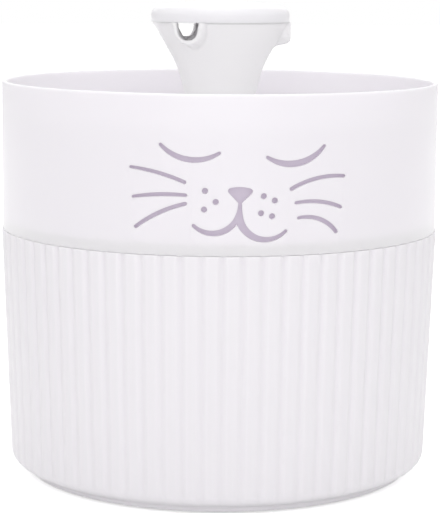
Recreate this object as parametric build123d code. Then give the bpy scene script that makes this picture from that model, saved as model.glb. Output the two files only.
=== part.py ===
from build123d import *
import os
from math import radians, sin, sqrt, tan

# Pet water fountain: a ribbed outer shell under a smooth collar with a sleeping cat's face cut
# through it, a water tank that lifts out, a shallow drinking dish on the tank's rim, a trumpet
# tower with three open spouts and a lift-off cap, and a filter box with a small pump inside.
# Millimetres. Z is up from the surface under the pads, the face looks along -Y.

os.makedirs("parts", exist_ok=True)

# ---- gaps ----
running_gap = 0.06          # between a shaft or a plug and its bore, on the radius
seat_gap = 0.02             # between two pieces of one assembly that are pressed together
nest_gap = 0.6              # between shells that slide past each other, on the radius
lap_gap = 0.1               # in the lap joint of the outer shell
facet_from = 1.0            # a corner eased by this much or more is given three facets
past = 1.0                  # cutters run on past the faces that they open

# ---- outer shell ----
band_radius = 90.0          # smooth collar, outside
band_height = 60.7          # from the seam to the rim
band_wall = 2.0
band_lip = 0.9              # easing of the rim
seam_height = 102.1
seam_bevel = 0.3
crest_proud = 0.5           # the ribs' crests stand this much outside the collar at the seam
shell_taper = 3.4           # the crests at the lower edge lie this far inside those at the seam
shell_edge_easing = 2.4
shell_floor = 2.8
shell_corner = 3.0
foot_ring_inset = 6.8       # inside the crests at the lower edge
foot_ring_width = 4.0
foot_ring_height = 2.0
underside_rise = 3.0        # from the foot ring's top out to the wall's lower edge
lap_height = 4.0
lap_wall = 0.95             # of the collar's thin lower edge, outside the lap
rib_count = 72
rib_groove_width = 3.4      # at the crests, where the groove is deepest
rib_groove_floor = 1.6
rib_groove_depth = 1.1
rib_groove_foot_depth = 0.5
rib_turn = 1.05             # degrees from the face's middle to the nearest groove
groove_overrun = 0.1        # of a groove's length, past each end of the wall

# ---- pads under the shell ----
pad_count = 4
pad_radius = 7.0
pad_margin = 3.3            # between a pad and the foot ring
pad_proud = 0.8
pad_sunk = 0.8
pad_bevel = 0.4

# ---- cable grommet at the back of the shell ----
grommet_height = 17.0
grommet_hole = 4.4          # hole through the wall, radius
grommet_flange = 6.6
grommet_lip = 1.4
cable_radius = 2.1
grommet_boss = 8.0
grommet_boss_proud = 0.5

# ---- face, in the collar ----
face_height = 23.1          # nose above the seam
face_width = 81.7            # between the tips of the whiskers
drawn_dot = 1.15            # radius of a freckle in the drawing, before it is scaled to the width

# ---- water tank ----
tank_gap = 4.3              # all round below the seam, where the pump's cable runs
tank_face_gap = 0.8         # behind the collar, so that the tank shows in the face
tank_shoulder = 3.6         # height of the slope between the two
tank_wall = 1.8
tank_floor = 2.0
tank_corner = 6.0
tank_foot_inset = 7.0       # of the ring that the tank stands on, from its wall
tank_foot_width = 4.0
tank_foot_height = 1.2
tank_rim_drop = 14.5        # below the collar's rim
channel_roof_drop = 1.5     # of the roof over the cable's channel, below the dish
cable_notch_width = 6.0
cable_notch_depth = 7.0

# ---- drinking dish ----
dish_wall = 1.8
dish_flange = 1.8
dish_depth = 9.6
dish_fall = 2.2             # of the floor towards the level ring round the drain
dish_corner = 6.0
dish_side_slope = 20.0      # degrees, leaning in towards the floor
drain_slot_count = 12
drain_slot_length = 9.0
drain_slot_width = 3.0
drain_inner = 21.0
drain_ring = 33.0           # radius of the level ring that holds the slots
hub_wall = 2.2
hub_depth = 6.0
hub_rise = 3.6              # above the dish's floor

# ---- tower and its rubber collar ----
stem_radius = 12.0
stem_wall = 2.0
collar_wall = 2.4
collar_flange = 1.6
collar_flange_width = 2.6
collar_bevel = 0.6
stop_ring = 1.8
stop_ring_height = 2.0
head_rise = 24.2            # tower's rim above the collar's rim
head_radius = 28.4
head_waist_step = 2.9       # of the head's foot, outside the stem
head_waist_drop = 28.8      # below the tower's rim
head_knee = 0.26            # of the way out from the waist, where the head begins to open
head_knee_drop = 17.6
head_cheek = 0.49           # and where it opens again
head_cheek_drop = 11.8
head_wall = 1.9
bowl_depth = 27.0           # rim to the bowl's floor
bowl_floor = 2.4
throat_length = 11.0
throat_wall = 2.4
spout_count = 3
spout_turn = -2.25          # degrees from +X
spout_proud = 0.4           # outside the tower's rim
spout_width = 10.4
spout_depth = 7.0
spout_narrowing = 10.0      # degrees, each side
spout_easing = 3.3
spout_wall = 1.4
stem_clear = 25.0           # between the filter lid and the foot of the stem

# ---- cap ----
cap_gap = 0.1
cap_overhang = 0.2          # outside the tower's rim
cap_side = 5.4              # lower edge to where side and crown would meet
cap_shoulder = 3.4          # rounding between them
cap_crown = 3.2
crown_break = 0.55          # of the radius, where the crown turns flatter
cap_wall = 1.8
cap_clip_depth = 5.0
cap_clip_wall = 1.6
cap_clip_width = 9.0

# ---- riser, seal and sleeve ----
riser_radius = 5.5
riser_wall = 1.4
riser_rise = 3.6            # above the bowl's floor
seal_depth = 2.4
seal_bite = 1.6             # of the seal into the throat's wall
sleeve_wall = 2.0
sleeve_overlap = 7.0
sleeve_bevel = 0.5

# ---- filter box ----
box_radius = 38.0
box_wall = 2.0
box_floor = 2.0
box_height = 48.2
box_stand = 5.0             # floor of the box above the floor of the tank
box_clearance = 1.08        # round the pump's rear corners
box_corner = 2.4
cup_radius = 7.5
cup_margin = 0.46           # between a cup's button and the pump
cup_count = 4
cup_neck = 2.4
cup_head = 3.4
cup_shoulder = 3.6
cup_lip = 0.7
cup_hollow = 1.9
cup_button = 1.8
lid_plate = 2.2
lid_skirt_depth = 3.0
lid_skirt_wall = 1.4
lid_bevel = 0.8
lid_slot_count = 20
lid_slot_width = 2.4
lid_slot_margin = 3.0       # between a slot and the lid's hole or skirt
tray_wall = 1.2
tray_depth = 12.5
tray_slot_count = 16
tray_slot_width = 2.0
tray_slot_margin = 2.0
carbon_depth = 5.0
pad_depth = 3.4
layer_gap = 0.1

# ---- pump ----
pump_share = 0.4722         # of the width inside the filter box
pump_height = 32.0
pump_corner = 4.0
pump_wall = 1.8
volute_length = 14.0        # centred on the riser
chamber_radius = 12.4
intake_radius = 5.2
spider_width = 1.2
bushing_wall = 1.0
grille_length = 6.0
grille_slot_count = 7
grille_slot_width = 1.8
grille_slot_pitch = 3.6
spigot_radius = 6.0
spigot_wall = 1.6
spigot_height = 8.6
well_radius = 7.3
well_wall = 1.2
well_end = 3.5              # from the well's closed end to the back of the pump
potting_depth = 3.0
gland_radius = 3.2
gland_length = 3.0
impeller_radius = 11.2
impeller_disc = 1.2
impeller_hub = 4.0
hub_set_back = 1.5          # behind the front edges of the vanes
wheel_clearance = 1.4       # between the wheel and the floor of the chamber
end_play = 0.6
vane_count = 6
vane_width = 1.1
vane_depth = 5.0
magnet_radius = 6.4
magnet_wall = 3.4
magnet_end_gap = 0.8
shaft_radius = 1.0
bushing_radius = 2.4
bushing_length = 2.4
stator_length = 10.0
stator_gap = 0.3
stator_ring = 2.0
tooth_width = 3.4
tooth_count = 4
shoe_angle = 52.0
shoe_depth = 1.2
coil_wall = 1.5

# ---- heights and radii that follow ----
ring_bottom = pad_proud
floor_bottom = ring_bottom + foot_ring_height
floor_top = floor_bottom + shell_floor
wall_foot = floor_bottom + underside_rise
shell_foot_radius = band_radius + crest_proud - shell_taper
foot_ring_radius = shell_foot_radius - foot_ring_inset
pad_circle = foot_ring_radius - foot_ring_width - pad_margin - pad_radius
rim_height = seam_height + band_height
band_inner = band_radius - band_wall
crest_radius = band_radius + crest_proud
shell_draft = (crest_radius - shell_foot_radius) / (seam_height - wall_foot)
lap_inner = band_radius - lap_wall

tank_bottom = floor_top + tank_foot_height
tank_floor_top = tank_bottom + tank_floor
tank_rim = rim_height - tank_rim_drop
tank_neck_radius = band_inner - tank_face_gap
tank_neck_foot = seam_height
cable_channel_radius = tank_gap - tank_face_gap

dish_top = tank_rim + dish_flange
dish_floor_edge = dish_top - dish_depth
dish_floor_middle = dish_floor_edge - dish_fall
channel_top = dish_floor_edge - dish_wall - channel_roof_drop - tank_wall
collar_bore = stem_radius + running_gap
collar_radius = collar_bore + collar_wall
hub_bore = collar_radius + running_gap
hub_radius = hub_bore + hub_wall
hub_top = dish_floor_middle + hub_rise
hub_bottom = dish_floor_middle - hub_depth
collar_top = hub_top + collar_flange

tower_rim = rim_height + head_rise
head_waist_radius = stem_radius + head_waist_step
head_flare = head_radius - head_waist_radius
head_knee_radius = head_waist_radius + head_knee * head_flare
head_cheek_radius = head_waist_radius + head_cheek * head_flare
spout_reach = head_radius + spout_proud
cap_radius = head_radius + cap_overhang
bowl_floor_top = tower_rim - bowl_depth
throat_bore = riser_radius + 5 * running_gap
seal_radius = throat_bore + seal_bite
cap_bottom = tower_rim + cap_gap
cap_edge = cap_bottom + cap_side
cap_top = cap_edge + cap_crown

box_bottom = tank_floor_top + box_stand
box_floor_top = box_bottom + box_floor
box_rim = box_bottom + box_height
box_inner = box_radius - box_wall
lid_top = box_rim + lid_plate
stem_foot = lid_top + stem_clear
motor_height = box_floor_top + pump_height / 2
pump_top = box_floor_top + pump_height
pump_width = pump_share * 2 * box_inner
volute_back = volute_length / 2
volute_front = -volute_length / 2
pump_back = sqrt((box_inner - box_clearance) ** 2 - (pump_width / 2) ** 2)
cup_circle = (pump_width / 2 + cup_head + cup_margin) * sqrt(2)
grille_front = volute_front - grille_length
well_back = pump_back - well_end
spigot_top = pump_top + spigot_height
riser_top = bowl_floor_top + riser_rise
sleeve_radius = spigot_radius + sleeve_wall
chimney_radius = sleeve_radius + nest_gap
tray_radius = box_inner - nest_gap - lid_skirt_wall - seat_gap
tray_inner = chimney_radius + tray_wall


# Radius of the crests, and of the shell's inside, at a height on the drafted wall.
def crest_at(height):
    return shell_foot_radius + shell_draft * (height - wall_foot)


def shell_inside_at(height):
    return band_inner - shell_draft * (seam_height - height)


# Outside of the tank's lower part, which follows the shell at an even gap.
def tank_outside_at(height):
    return shell_inside_at(height) - tank_gap


# A corner of an outline, eased: a bevel where the easing is small, three facets where it is large.
def eased(before, corner, after, easing):
    if easing == 0:
        return [corner]
    first = corner + (before - corner).normalized() * easing
    last = corner + (after - corner).normalized() * easing
    if easing < facet_from:
        return [first, last]
    return [
        first * (1 - step) ** 2 + corner * 2 * step * (1 - step) + last * step**2
        for step in (0, 1 / 3, 2 / 3, 1)
    ]


# A closed face from (across, up, easing) corners.
def outline_of(*corners):
    spots = [Vector(across, up) for across, up, easing in corners]
    points = []
    for index, spot in enumerate(spots):
        before = spots[index - 1]
        after = spots[(index + 1) % len(spots)]
        points += eased(before, spot, after, corners[index][2])
    return make_face(Polyline(*points, close=True))


# A solid of revolution about Z from (radius, height, easing) corners.
def turned(*corners):
    return revolve(Plane.XZ * outline_of(*corners), Axis.Z)


# A plain tube or ring standing on a height.
def tube(outer, inner, bottom, top):
    outline = Circle(outer) - Circle(inner)
    return extrude(Plane.XY.offset(bottom) * outline, top - bottom)


def disc(radius, bottom, top):
    return extrude(Plane.XY.offset(bottom) * Circle(radius), top - bottom)


# An upright outline, run from its front face to its back face along Y.
def slab(outline, front, back):
    return extrude(Plane.XZ.offset(-front) * outline, front - back)


# Copies of a solid round the Z axis.
def around(solid, count, start=0.0):
    return [place * solid for place in PolarLocations(0, count, start_angle=start)]


# A radial slot, cut upright through a floor.
def radial_slot(inner, outer, width, bottom, top, outline=Rectangle):
    shape = Pos((inner + outer) / 2, 0) * outline(outer - inner, width)
    return extrude(Plane.XY.offset(bottom) * shape, top - bottom)


# A notch open at the rim, at the back, where the pump's cable passes.
def cable_notch(inner, outer, bottom, top):
    width = cable_notch_width
    slot = Pos(0, bottom + width / 2) * Circle(width / 2)
    slot += Pos(0, (bottom + width / 2 + top) / 2) * Rectangle(width, top - bottom - width / 2)
    return slab(slot, inner, outer)


# ---- outer shell ----

# The groove between two ribs, with slanting sides and a flat floor, as deep as named at the
# seam and shallower at the foot.
def rib_groove():
    run = seam_height - wall_foot
    spare = run * groove_overrun
    foot = Vector(shell_foot_radius - rib_groove_foot_depth, 0, wall_foot)
    head = Vector(crest_radius - rib_groove_depth, 0, seam_height)
    lean = (head - foot).normalized()
    outward = rib_groove_depth * 2
    widening = outward * (rib_groove_width - rib_groove_floor) / rib_groove_depth
    section = outline_of(
        (0, -rib_groove_floor / 2, 0),
        (outward, -(rib_groove_floor + widening) / 2, 0),
        (outward, (rib_groove_floor + widening) / 2, 0),
        (0, rib_groove_floor / 2, 0),
    )
    place = Plane(origin=foot - lean * spare, x_dir=(lean.Z, 0, -lean.X), z_dir=lean)
    return extrude(place * section, run + 2 * spare)


def outer_base():
    shell = turned(
        (0, floor_bottom, 0),
        (foot_ring_radius - foot_ring_width, floor_bottom, 0),
        (foot_ring_radius - foot_ring_width, ring_bottom, 0),
        (foot_ring_radius, ring_bottom, seam_bevel),
        (foot_ring_radius, floor_bottom, 0),
        (shell_foot_radius, wall_foot, shell_edge_easing),
        (crest_radius, seam_height, seam_bevel),
        (lap_inner - lap_gap, seam_height, 0),
        (lap_inner - lap_gap, seam_height + lap_height, 0),
        (band_inner, seam_height + lap_height, 0),
        (band_inner, seam_height, 0),
        (shell_inside_at(floor_top), floor_top, shell_corner),
        (0, floor_top, 0),
    )
    shell -= around(rib_groove(), rib_count, rib_turn)
    boss_face = crest_at(grommet_height) + grommet_boss_proud
    boss_root = shell_inside_at(grommet_height + grommet_boss) + band_wall / 2
    inner_flat = shell_inside_at(grommet_height + grommet_flange)
    centre = Pos(0, grommet_height)
    shell += slab(centre * Circle(grommet_boss), boss_root, boss_face)
    shell -= slab(centre * Circle(grommet_flange + seat_gap), inner_flat - tank_gap, inner_flat)
    shell -= slab(centre * Circle(grommet_hole), inner_flat - tank_gap, boss_face + grommet_lip)
    pocket = disc(pad_radius + seat_gap, ring_bottom, floor_bottom + pad_sunk)
    shell -= around(Pos(pad_circle, 0) * pocket, pad_count, 180 / pad_count)
    return shell


def rubber_feet():
    pad = turned(
        (0, 0, 0),
        (pad_radius, 0, pad_bevel),
        (pad_radius, floor_bottom + pad_sunk, 0),
        (0, floor_bottom + pad_sunk, 0),
    )
    return around(Pos(pad_circle, 0) * pad, pad_count, 180 / pad_count)


def cable_grommet():
    boss_face = crest_at(grommet_height) + grommet_boss_proud
    inner_flat = shell_inside_at(grommet_height + grommet_flange)
    neck = grommet_hole - seat_gap
    ring = outline_of(
        (cable_radius, inner_flat - grommet_lip, 0),
        (grommet_flange, inner_flat - grommet_lip, seam_bevel),
        (grommet_flange, inner_flat, 0),
        (neck, inner_flat, 0),
        (neck, boss_face, 0),
        (grommet_flange, boss_face, 0),
        (grommet_flange, boss_face + grommet_lip, 2 * seam_bevel),
        (cable_radius, boss_face + grommet_lip, 0),
    )
    return Pos(0, 0, grommet_height) * revolve(ring, Axis.Y)


# ---- face ----

# A brush stroke along an arc, with round ends, as wide as named at its start, middle and end.
def stroke(start, middle, end, start_width, middle_width, end_width):
    spine = ThreePointArc(start, middle, end)

    def beside(along, across):
        heading = spine % along
        return spine @ along + Vector(-heading.Y, heading.X) * across / 2

    first_tip = spine @ 0 - (spine % 0) * start_width / 2
    last_tip = spine @ 1 + (spine % 1) * end_width / 2
    upper = ThreePointArc(beside(0, start_width), beside(0.5, middle_width), beside(1, end_width))
    last = ThreePointArc(beside(1, end_width), last_tip, beside(1, -end_width))
    lower = ThreePointArc(beside(1, -end_width), beside(0.5, -middle_width), beside(0, -start_width))
    first = ThreePointArc(beside(0, -start_width), first_tip, beside(0, start_width))
    return make_face([upper, last, lower, first])


# The sleeping face, across and up from the nose: two closed eyes, six whiskers, seven freckles
# and a nose that runs down into the two halves of the mouth.
def face_outline():
    face = stroke((-29.2, 18.7), (-18.0, 13.2), (-7.6, 15.8), 1.3, 2.2, 1.3)
    face += stroke((10.5, 14.2), (21.4, 11.7), (32.4, 18.0), 1.3, 2.6, 1.3)
    face += stroke((-40.0, 9.9), (-30.4, 8.2), (-20.4, 4.8), 1.2, 1.5, 1.5)
    face += stroke((-39.1, -1.2), (-29.6, 0.0), (-20.0, -0.1), 1.2, 1.6, 1.4)
    face += stroke((-38.2, -12.5), (-29.9, -7.0), (-20.1, -3.3), 1.4, 1.7, 1.5)
    face += stroke((19.8, 2.2), (29.3, 5.8), (40.4, 6.3), 1.6, 1.6, 1.4)
    face += stroke((21.6, -3.1), (30.2, -2.9), (39.3, -5.4), 1.3, 1.6, 1.4)
    face += stroke((22.7, -8.8), (30.9, -9.6), (37.6, -14.7), 1.3, 1.7, 1.6)
    for across, up in [(-12.8, 1.7), (-8.8, -2.4), (-13.1, -5.3)]:
        face += Pos(across, up) * Circle(drawn_dot)
    for across, up in [(9.2, -0.3), (13.4, -2.0), (8.2, -6.7), (12.4, -7.9)]:
        face += Pos(across, up) * Circle(drawn_dot)
    nose = FilletPolyline(
        (-5.4, 2.5), (0.2, 3.5), (6.4, 2.2), (0.3, -3.6), radius=[1.5, 6.0, 1.7, 0.7], close=True
    )
    face += make_face(nose)
    face += stroke((0.3, -1.8), (0.2, -5.4), (-0.2, -9.0), 1.5, 1.9, 3.9)
    face += stroke((-0.5, -8.2), (-8.5, -14.2), (-17.0, -11.4), 2.3, 2.3, 1.3)
    face += stroke((-0.1, -8.4), (8.5, -16.6), (17.7, -13.6), 3.2, 2.4, 1.3)
    return scale(face, face_width / face.bounding_box().size.X)


def face_band():
    band = turned(
        (band_radius, seam_height, seam_bevel),
        (band_radius, rim_height, band_lip),
        (band_inner, rim_height, band_lip),
        (band_inner, seam_height + lap_height + lap_gap, 0),
        (lap_inner, seam_height + lap_height + lap_gap, 0),
        (lap_inner, seam_height, 0),
    )
    cutter = slab(Pos(0, seam_height + face_height) * face_outline(), -band_radius - band_wall, 0)
    return band - cutter


# ---- water tank ----

# The round channel that takes the cable down the back of the tank's neck, or the same grown by
# a wall's width.
def cable_channel(wall):
    start = tank_neck_foot - 2 * tank_shoulder
    return Pos(0, tank_neck_radius) * disc(cable_channel_radius + wall, start, channel_top + wall)


def inner_tank():
    foot = tank_outside_at(tank_bottom)
    foot_ring = foot - tank_foot_inset
    shoulder_foot = tank_neck_foot - tank_shoulder
    shoulder_radius = tank_outside_at(shoulder_foot)
    tank = turned(
        (0, tank_bottom, 0),
        (foot_ring - tank_foot_width, tank_bottom, 0),
        (foot_ring - tank_foot_width, floor_top, 0),
        (foot_ring, floor_top, 0),
        (foot_ring, tank_bottom, 0),
        (foot, tank_bottom, tank_corner),
        (shoulder_radius, shoulder_foot, 0),
        (tank_neck_radius, tank_neck_foot, 0),
        (tank_neck_radius, tank_rim, 0),
        (0, tank_rim, 0),
    )
    inside = turned(
        (0, tank_floor_top, 0),
        (foot - tank_wall, tank_floor_top, tank_corner - tank_wall),
        (shoulder_radius - tank_wall, shoulder_foot, 0),
        (tank_neck_radius - tank_wall, tank_neck_foot, 0),
        (tank_neck_radius - tank_wall, tank_rim, 0),
        (0, tank_rim, 0),
    )
    tank -= cable_channel(0)
    tank -= inside - cable_channel(tank_wall)
    slot_start = tank_neck_radius - 2 * (cable_channel_radius + tank_wall)
    slot_bottom = channel_top - cable_notch_width
    return tank - cable_notch(slot_start, band_radius, slot_bottom, tank_rim + past)


# ---- drinking dish ----

def drinking_dish():
    lean = tan(radians(dish_side_slope))
    side_top = tank_neck_radius - tank_wall - nest_gap
    side_foot = side_top - lean * (tank_rim - dish_floor_edge)
    flange_edge = tank_neck_radius
    dish = turned(
        (hub_bore, hub_bottom, 0),
        (hub_radius, hub_bottom, 0),
        (hub_radius, dish_floor_middle - dish_wall, 0),
        (drain_ring, dish_floor_middle - dish_wall, 0),
        (side_foot, dish_floor_edge - dish_wall, dish_corner),
        (side_top, tank_rim, 0),
        (flange_edge, tank_rim, 0),
        (flange_edge, dish_top, dish_flange / 2.5),
        (side_top - dish_wall, dish_top, dish_flange / 2.5),
        (side_foot - dish_wall, dish_floor_edge, dish_corner - dish_wall),
        (drain_ring, dish_floor_middle, 0),
        (hub_radius, dish_floor_middle, 0),
        (hub_radius, hub_top, 0),
        (hub_bore, hub_top, 0),
    )
    drain_outer = drain_inner + drain_slot_length
    slot = radial_slot(
        drain_inner, drain_outer, drain_slot_width, hub_bottom, dish_top, SlotOverall
    )
    return dish - around(slot, drain_slot_count, 180 / drain_slot_count)


# ---- tower ----

def tower_collar():
    return turned(
        (collar_bore, hub_bottom, 0),
        (collar_radius, hub_bottom, collar_bevel),
        (collar_radius, hub_top, 0),
        (collar_radius + collar_flange_width, hub_top, 0),
        (collar_radius + collar_flange_width, collar_top, collar_bevel),
        (collar_bore, collar_top, 0),
    )


# Outline of one spout's trough: half-width at the rim, and depth below it. Its sides narrow
# towards a rounded floor and run on above the rim.
def trough(half_width, depth, easing, above):
    lean = tan(radians(spout_narrowing))
    foot = half_width - depth * lean
    mouth = half_width + above * lean
    return outline_of(
        (-mouth, above, 0), (-foot, -depth, easing), (foot, -depth, easing), (mouth, above, 0)
    )


# A trough run outwards along X from one radius to another, hung from the tower's rim.
def spout_run(half_width, depth, easing, above, start, reach):
    place = Plane(origin=(start, 0, tower_rim), x_dir=(0, 1, 0), z_dir=(1, 0, 0))
    return extrude(place * trough(half_width, depth, easing, above), reach - start)


# The head's flank from its waist up to the rim, a wall's width inside it or on its face.
def flank(inset):
    return [
        (head_knee_radius - inset, tower_rim - head_knee_drop, 0),
        (head_cheek_radius - inset, tower_rim - head_cheek_drop, 0),
        (head_radius - inset, tower_rim, 0),
    ]


def spout_tower():
    head_foot = collar_top + stop_ring_height
    bowl_foot = (head_waist_radius - head_wall, bowl_floor_top, 0)
    throat_foot = bowl_floor_top - throat_length
    under_floor = bowl_floor_top - bowl_floor
    bore = stem_radius - stem_wall
    inside = [bowl_foot, *flank(head_wall)]
    tower = turned(
        (stem_radius, stem_foot, 0),
        (stem_radius, collar_top, 0),
        (stem_radius + stop_ring, collar_top, 0),
        (stem_radius + stop_ring, head_foot, 0),
        (stem_radius, head_foot, 0),
        (head_waist_radius, tower_rim - head_waist_drop, 0),
        *flank(0),
        *reversed(inside),
        (throat_bore, bowl_floor_top, 0),
        (throat_bore, seal_height() + seal_depth / 2, 0),
        (seal_radius, seal_height() + seal_depth / 2, 0),
        (seal_radius, seal_height() - seal_depth / 2, 0),
        (throat_bore, seal_height() - seal_depth / 2, 0),
        (throat_bore, throat_foot, 0),
        (throat_bore + throat_wall, throat_foot, 0),
        (throat_bore + throat_wall, under_floor, 0),
        (head_waist_radius - stem_wall, under_floor, 0),
        (bore, head_foot, 0),
        (bore, stem_foot, 0),
    )
    bowl = turned((0, bowl_floor_top, 0), *inside, (0, tower_rim, 0))
    half_width = spout_width / 2
    hidden = head_radius / 2
    spout = spout_run(
        half_width + spout_wall,
        spout_depth + spout_wall,
        spout_easing + spout_wall,
        0,
        hidden,
        spout_reach,
    )
    channel = spout_run(
        half_width, spout_depth, spout_easing, head_wall, hidden / 2, spout_reach + head_wall
    )
    tower += around(spout - bowl, spout_count, spout_turn)
    return tower - around(channel, spout_count, spout_turn)


# The seal sits in a groove half-way up the throat, and its lip rides on the riser.
def seal_height():
    return bowl_floor_top - throat_length / 2


def riser_seal():
    half_depth = seal_depth / 2 - seat_gap
    return turned(
        (seal_radius - seat_gap, seal_height() - half_depth, 0),
        (seal_radius - seat_gap, seal_height() + half_depth, 0),
        (throat_bore, seal_height() + half_depth, 0),
        (riser_radius + running_gap, seal_height(), 0),
        (throat_bore, seal_height() - half_depth, 0),
    )


# ---- cap ----

# The cap's upright side, eased shoulder and shallow crown, from its lower edge to its middle.
def cap_form(inset):
    radius = cap_radius - inset
    return [
        (radius, cap_bottom, 0),
        (radius, cap_edge - inset, cap_shoulder),
        (radius * crown_break, cap_edge - inset + cap_crown * (1 - crown_break**2), 0),
        (0, cap_top - inset, 0),
    ]


def tower_cap():
    cap = turned(*cap_form(0), (0, cap_bottom, 0))
    cap -= turned(*cap_form(cap_wall), (0, cap_bottom, 0))
    clip_foot = tower_rim - cap_clip_depth
    clip_top = cap_edge - cap_wall / 2
    flare = (head_radius - head_cheek_radius) / head_cheek_drop * cap_clip_depth
    outside = head_radius - head_wall - nest_gap / 2
    inside = outside - cap_clip_wall
    clip = turned(
        (inside - flare, clip_foot, 0),
        (outside - flare, clip_foot, seam_bevel),
        (outside, tower_rim, 0),
        (outside, clip_top, 0),
        (inside, clip_top, 0),
        (inside, tower_rim, 0),
    )
    keep = Pos(head_radius, 0, tower_rim) * Box(head_radius, cap_clip_width, 4 * cap_clip_depth)
    for piece in around(clip & keep, spout_count, spout_turn + 180 / spout_count):
        cap += piece
    return cap


# ---- riser ----

def riser_tube():
    return tube(riser_radius, riser_radius - riser_wall, spigot_top, riser_top)


def riser_sleeve():
    return turned(
        (spigot_radius + seat_gap, spigot_top - sleeve_overlap, 0),
        (sleeve_radius, spigot_top - sleeve_overlap, sleeve_bevel),
        (sleeve_radius, spigot_top + sleeve_overlap, sleeve_bevel),
        (riser_radius + seat_gap, spigot_top + sleeve_overlap, 0),
        (riser_radius + seat_gap, spigot_top, 0),
        (spigot_radius + seat_gap, spigot_top, 0),
    )


# ---- filter box ----

def filter_box():
    box = turned(
        (0, box_bottom, 0),
        (box_radius, box_bottom, box_corner),
        (box_radius, box_rim, 0),
        (box_inner, box_rim, 0),
        (box_inner, box_floor_top, 0),
        (0, box_floor_top, 0),
    )
    stud_hole = disc(cup_neck + seat_gap, box_bottom - past, box_floor_top + past)
    box -= around(Pos(cup_circle, 0) * stud_hole, cup_count, 180 / cup_count)
    notch_bottom = box_rim - cable_notch_depth
    return box - cable_notch(box_inner - box_wall, box_radius + past, notch_bottom, box_rim + past)


def suction_cups():
    cup = turned(
        (0, tank_floor_top + cup_hollow, 0),
        (cup_radius, tank_floor_top, 0),
        (cup_radius, tank_floor_top + cup_lip, 0),
        (cup_shoulder, box_bottom, 0),
        (cup_neck, box_bottom, 0),
        (cup_neck, box_floor_top, 0),
        (cup_head, box_floor_top, 0),
        (cup_neck, box_floor_top + cup_button, 0),
        (0, box_floor_top + cup_button, 0),
    )
    return around(Pos(cup_circle, 0) * cup, cup_count, 180 / cup_count)


def filter_lid():
    skirt_radius = box_inner - nest_gap
    lid = turned(
        (chimney_radius, box_rim, 0),
        (skirt_radius - lid_skirt_wall, box_rim, 0),
        (skirt_radius - lid_skirt_wall, box_rim - lid_skirt_depth, 0),
        (skirt_radius, box_rim - lid_skirt_depth, 0),
        (skirt_radius, box_rim, 0),
        (box_radius, box_rim, 0),
        (box_radius, lid_top, lid_bevel),
        (chimney_radius, lid_top, 0),
    )
    slot_inner = chimney_radius + lid_slot_margin
    slot_outer = skirt_radius - lid_skirt_wall - lid_slot_margin
    slot = radial_slot(slot_inner, slot_outer, lid_slot_width, box_rim - past, lid_top + past)
    return lid - around(slot, lid_slot_count, 180 / lid_slot_count)


def filter_tray():
    tray_bottom = box_rim - tray_depth
    plate_top = tray_bottom + tray_wall
    tray = turned(
        (chimney_radius, tray_bottom, 0),
        (tray_radius, tray_bottom, 0),
        (tray_radius, box_rim, 0),
        (tray_radius - tray_wall, box_rim, 0),
        (tray_radius - tray_wall, plate_top, 0),
        (tray_inner, plate_top, 0),
        (tray_inner, box_rim, 0),
        (chimney_radius, box_rim, 0),
    )
    slot_inner = tray_inner + tray_slot_margin
    slot_outer = tray_radius - tray_wall - tray_slot_margin
    slot = radial_slot(
        slot_inner, slot_outer, tray_slot_width, tray_bottom - past, plate_top + past
    )
    return tray - around(slot, tray_slot_count)


def filter_layer(bottom, depth):
    outer = tray_radius - tray_wall - layer_gap
    return tube(outer, tray_inner + layer_gap, bottom, bottom + depth)


def carbon_pack():
    return filter_layer(box_rim - tray_depth + tray_wall, carbon_depth)


def filter_pad():
    return filter_layer(box_rim - tray_depth + tray_wall + carbon_depth + layer_gap, pad_depth)


# ---- pump ----

def pump_outline(inset):
    outline = RectangleRounded(pump_width - 2 * inset, pump_height - 2 * inset, pump_corner - inset)
    return Pos(0, motor_height) * outline


def round_at_motor(radius):
    return Pos(0, motor_height) * Circle(radius)


def pump_body():
    front_wall = volute_back + pump_wall
    body = slab(pump_outline(0), volute_back, pump_back)
    body -= slab(pump_outline(pump_wall), front_wall, pump_back)
    body += slab(round_at_motor(well_radius + well_wall), volute_back, well_back)
    body -= slab(round_at_motor(well_radius), volute_back, well_back - well_wall)
    return body


def volute_cover():
    cover = slab(pump_outline(0), volute_front, volute_back)
    front_wall = volute_front + pump_wall
    seat_back = front_wall + bushing_length
    cover -= slab(round_at_motor(chamber_radius), front_wall, volute_back)
    cover -= slab(round_at_motor(intake_radius), volute_front, front_wall)
    arm = Rectangle(2 * intake_radius + pump_wall, spider_width)
    arms = Pos(0, motor_height) * (arm + Rot(0, 0, 90) * arm)
    cover += slab(arms, volute_front, front_wall)
    cover += slab(round_at_motor(bushing_radius + bushing_wall), volute_front, seat_back)
    cover -= slab(round_at_motor(bushing_radius), volute_front + bushing_wall, seat_back)
    cover += disc(spigot_radius, pump_top - pump_corner, spigot_top)
    return cover - disc(spigot_radius - spigot_wall, motor_height + chamber_radius / 2, spigot_top)


def intake_grille():
    grille = slab(pump_outline(0), grille_front, volute_front)
    grille -= slab(pump_outline(pump_wall), grille_front + pump_wall, volute_front)
    bar_height = pump_height - 4 * pump_corner
    slot = slab(
        Pos(0, motor_height) * Rectangle(grille_slot_width, bar_height),
        grille_front - past,
        grille_front + pump_wall + past,
    )
    middle = (grille_slot_count - 1) / 2
    for index in range(grille_slot_count):
        grille -= Pos((index - middle) * grille_slot_pitch, 0, 0) * slot
    return grille


def pump_sponge():
    front = grille_front + pump_wall + layer_gap
    return slab(pump_outline(pump_wall + layer_gap), front, volute_front - layer_gap)


def bushing(front):
    outline = round_at_motor(bushing_radius - seat_gap) - round_at_motor(shaft_radius)
    return slab(outline, front, front + bushing_length)


def shaft_span():
    return volute_front + bushing_wall, well_back - well_wall


def shaft_bushings():
    front, back = shaft_span()
    return [bushing(front), bushing(back - bushing_length)]


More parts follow.
